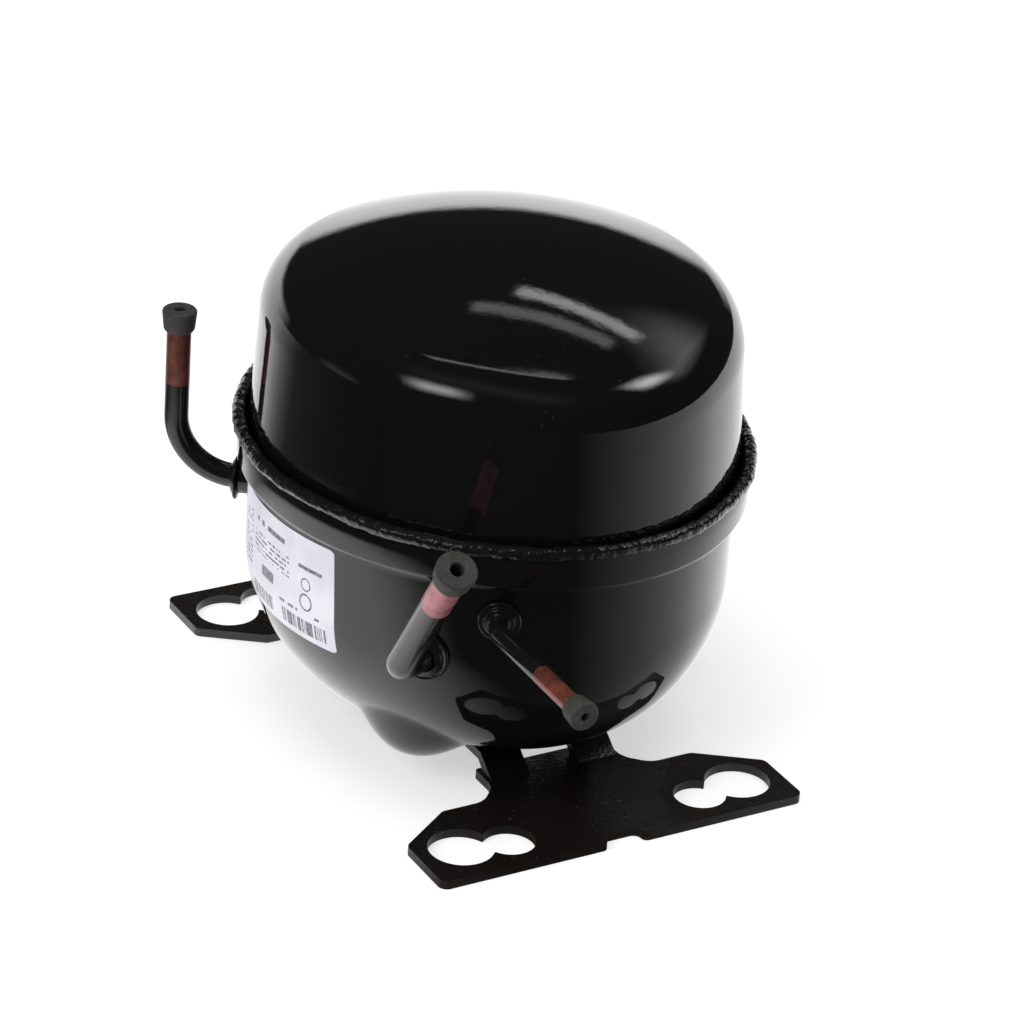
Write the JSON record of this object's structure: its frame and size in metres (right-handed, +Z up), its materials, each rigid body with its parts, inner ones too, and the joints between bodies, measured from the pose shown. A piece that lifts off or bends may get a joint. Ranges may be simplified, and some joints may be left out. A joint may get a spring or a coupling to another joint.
{
  "type": "hermetic reciprocating compressor",
  "caption": "Oval welded black shell holding a spring-mounted motor and a scotch-yoke piston pump, with plugged copper tubes and keyhole base plates.",
  "frame": {"origin": "centre of the mounting-hole pattern, on the undersides of the base plates", "axes": "+Z up; +X along the short hole spacing; +Y along the long hole spacing and the oval shell, with the suction and discharge tubes at the -Y end"},
  "size_m": [0.1754, 0.2337, 0.1694],
  "materials": {
    "shell_paint": "gloss black stoved paint on pressed steel",
    "weld_paint": "gloss black paint over a rough weld bead",
    "plate_paint": "satin black paint on sheet steel",
    "collar_paint": "gloss black paint on brazed steel collars",
    "tube_copper": "copper tube, black paint up to the bare brazing end",
    "bare_tube_copper": "clean copper tube",
    "plug_rubber": "dull moulded rubber",
    "label_paper": null,
    "terminal_steel": "plated steel cup",
    "sealing_glass": "fused sealing glass",
    "plated_steel": "zinc-plated steel",
    "moulded_plastic": "natural glass-filled plastic",
    "lead_insulation": "woven polyester sleeving",
    "lamination_steel": "stacked electrical-steel sheets",
    "winding_copper": "enamelled copper wire, laced",
    "rotor_aluminium": "die-cast aluminium",
    "cast_iron": "cast iron, machined where it runs",
    "spring_steel": "bright spring steel",
    "sintered_steel": "fine-ground steel",
    "pressed_steel": "pressed sheet steel",
    "gasket_fibre": "fibre gasket sheet"
  },
  "bodies": {
    "shell": {"lower_shell": "shell_paint", "upper_shell": "shell_paint", "seam_weld": "weld_paint", "front_base_plate": "plate_paint", "rear_base_plate": "plate_paint", "rating_label": "label_paper", "suction_tube": "tube_copper", "discharge_tube": "tube_copper", "process_tube": "tube_copper", "suction_collar": "collar_paint", "discharge_collar": "collar_paint", "process_collar": "collar_paint", "terminal_body": "terminal_steel", "terminal_glass": "sealing_glass", "terminal_pins": "plated_steel", "terminal_fence": "plate_paint", "earth_screw": "plated_steel", "terminal_socket": "moulded_plastic", "motor_leads": "lead_insulation", "spring_seats": "moulded_plastic", "suspension_springs": "spring_steel", "discharge_loop": "bare_tube_copper"},
    "pump": {"stator_core": "lamination_steel", "run_winding": "winding_copper", "start_winding": "winding_copper", "spring_caps": "moulded_plastic", "stator_bolts": "plated_steel", "cylinder_block": "cast_iron", "thrust_washer": "spring_steel", "suction_gasket": "gasket_fibre", "suction_sheet": "spring_steel", "valve_plate": "sintered_steel", "discharge_reed_stop": "pressed_steel", "head_gasket": "gasket_fibre", "cylinder_head": "cast_iron", "head_bolts": "plated_steel", "suction_muffler": "moulded_plastic", "discharge_pipe": "bare_tube_copper", "discharge_muffler_cover": "pressed_steel", "discharge_muffler_screw": "plated_steel"},
    "crankshaft": {"crankshaft": "cast_iron", "rotor_core": "lamination_steel", "rotor_cage": "rotor_aluminium", "rotor_counterweight": "sintered_steel", "oil_pickup": "pressed_steel"},
    "oil_restrictor": {"oil_restrictor": "sintered_steel"},
    "piston": {"piston": "sintered_steel", "yoke_tube": "sintered_steel"},
    "slide_block": {"slide_block": "sintered_steel"},
    "suction_reed": {"suction_reed": "spring_steel"},
    "discharge_reed": {"discharge_reed": "spring_steel"},
    "suction_plug": {"suction_plug": "plug_rubber"},
    "discharge_plug": {"discharge_plug": "plug_rubber"},
    "process_plug": {"process_plug": "plug_rubber"}
  },
  "joints": [
    {"name": "pump_float", "type": "slide", "parent": "shell", "child": "pump", "axis": [0, 0, 1], "range_m": [-0.003, 0.003], "stiffness_N_per_m": 20000, "springref_m": 0.00245, "deforming": ["suspension_springs", "discharge_loop", "motor_leads"]},
    {"name": "crank_spin", "type": "hinge", "parent": "pump", "child": "crankshaft", "pos_m": [0, 0, 0.1], "axis": [0, 0, 1], "continuous": true},
    {"name": "restrictor_turn", "type": "hinge", "parent": "crankshaft", "child": "oil_restrictor", "pos_m": [0, -0.0044, 0.035], "axis": [0, 0, 1], "continuous": true},
    {"name": "piston_stroke", "type": "hinge", "parent": "oil_restrictor", "child": "piston", "pos_m": [0, -0.0088, 0.125], "axis": [0, 0, 1], "continuous": true},
    {"name": "slide_block_turn", "type": "hinge", "parent": "crankshaft", "child": "slide_block", "pos_m": [0, -0.0088, 0.125], "axis": [0, 0, 1], "continuous": true},
    {"name": "suction_reed_flex", "type": "hinge", "parent": "pump", "child": "suction_reed", "pos_m": [-0.01, 0.0527, 0.1205], "axis": [0, 0, -1], "range_deg": [0, 3], "stiffness_Nm_per_rad": 0.002},
    {"name": "discharge_reed_flex", "type": "hinge", "parent": "pump", "child": "discharge_reed", "pos_m": [-0.01, 0.0566, 0.1305], "axis": [0, 0, 1], "range_deg": [0, 3], "stiffness_Nm_per_rad": 0.002},
    {"name": "suction_plug_pull", "type": "slide", "parent": "shell", "child": "suction_plug", "axis": [-0.085, -0.5951, 0.7991], "range_m": [0, 0.015]},
    {"name": "discharge_plug_pull", "type": "slide", "parent": "shell", "child": "discharge_plug", "axis": [-0.022, -0.9998, 0], "range_m": [0, 0.015]},
    {"name": "process_plug_pull", "type": "slide", "parent": "shell", "child": "process_plug", "axis": [0, 0, 1], "range_m": [0, 0.015]}
  ],
  "couplings": [
    {"joint": "restrictor_turn", "follows": "crank_spin", "ratio": -2},
    {"joint": "piston_stroke", "follows": "crank_spin", "ratio": 1},
    {"joint": "slide_block_turn", "follows": "crank_spin", "ratio": -1}
  ]
}
